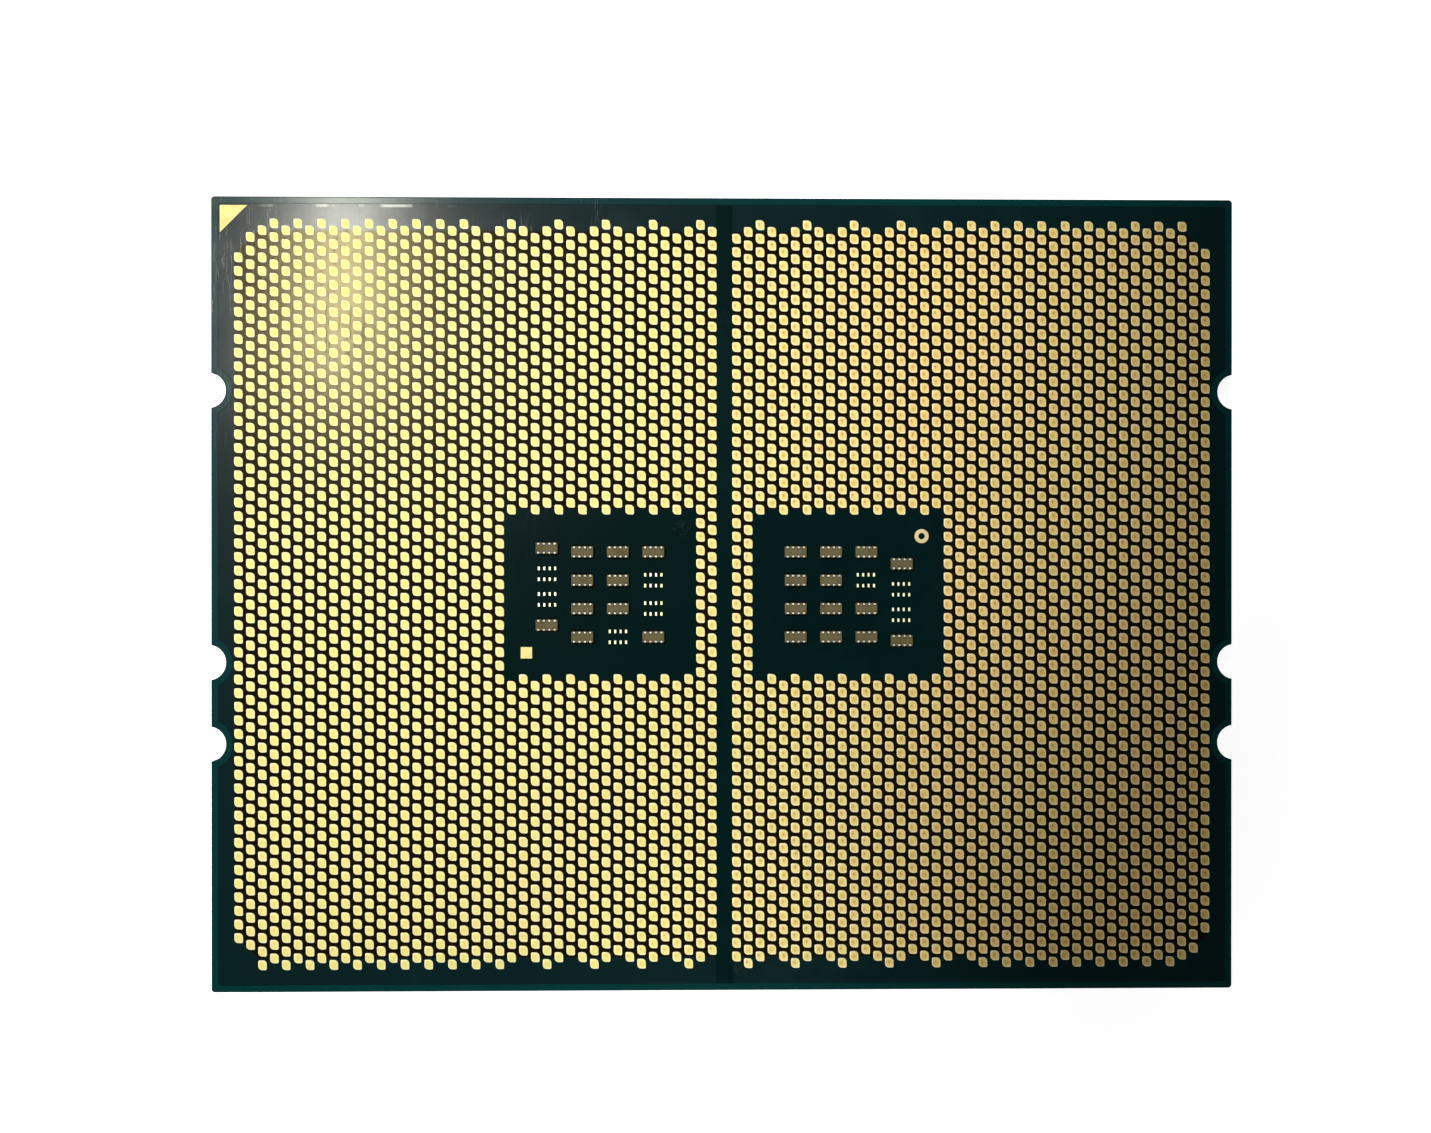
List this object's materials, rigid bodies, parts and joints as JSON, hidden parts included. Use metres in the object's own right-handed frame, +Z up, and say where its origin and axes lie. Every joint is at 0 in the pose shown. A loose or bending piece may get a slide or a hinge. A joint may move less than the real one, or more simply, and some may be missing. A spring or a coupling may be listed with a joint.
{
  "type": "land grid array processor package",
  "caption": "Rectangular processor package seen from its contact side, with two banks of gold lands, capacitor windows, edge notches and a metal heat spreader underneath.",
  "frame": {"origin": "centre of the heat spreader's flat outer face, on which the package rests", "axes": "+X along the board's long side, +Y along its short side towards the pin-one edge, +Z up towards the lands"},
  "size_m": [0.0754, 0.0584, 0.0066],
  "materials": {
    "board": "satin solder mask",
    "gold": "gold flash plating",
    "capacitor_ceramic": "matt fired ceramic",
    "tin_plating": "bright tin",
    "nickel_plating": "satin nickel plating over copper",
    "silicone": "matt adhesive",
    "silicon": "ground silicon",
    "resin": "cured resin",
    "thermal_solder": "matt soft solder"
  },
  "bodies": {
    "root": {"substrate": "board", "lands_left_bank": "gold", "lands_right_bank": "gold", "pin_one_mark": "gold", "pin_one_mark_lid_side": "gold", "square_fiducial": "gold", "ring_fiducial": "gold", "footprints_left": "gold", "footprints_right": "gold", "capacitor_left_1": "capacitor_ceramic", "capacitor_left_2": "capacitor_ceramic", "capacitor_left_3": "capacitor_ceramic", "capacitor_left_4": "capacitor_ceramic", "capacitor_left_5": "capacitor_ceramic", "capacitor_left_6": "capacitor_ceramic", "capacitor_left_7": "capacitor_ceramic", "capacitor_left_8": "capacitor_ceramic", "capacitor_left_9": "capacitor_ceramic", "capacitor_left_10": "capacitor_ceramic", "capacitor_left_11": "capacitor_ceramic", "capacitor_right_1": "capacitor_ceramic", "capacitor_right_2": "capacitor_ceramic", "capacitor_right_3": "capacitor_ceramic", "capacitor_right_4": "capacitor_ceramic", "capacitor_right_5": "capacitor_ceramic", "capacitor_right_6": "capacitor_ceramic", "capacitor_right_7": "capacitor_ceramic", "capacitor_right_8": "capacitor_ceramic", "capacitor_right_9": "capacitor_ceramic", "capacitor_right_10": "capacitor_ceramic", "capacitor_right_11": "capacitor_ceramic", "capacitor_right_12": "capacitor_ceramic", "capacitor_right_13": "capacitor_ceramic", "terminals_left": "tin_plating", "terminals_right": "tin_plating", "heat_spreader": "nickel_plating", "lid_seal": "silicone", "die_1": "silicon", "die_2": "silicon", "die_3": "silicon", "die_4": "silicon", "underfill_1": "resin", "underfill_2": "resin", "underfill_3": "resin", "underfill_4": "resin", "solder_1": "thermal_solder", "solder_2": "thermal_solder", "solder_3": "thermal_solder", "solder_4": "thermal_solder", "die_side_capacitors": "capacitor_ceramic", "die_side_terminals": "tin_plating"}
  },
  "joints": []
}
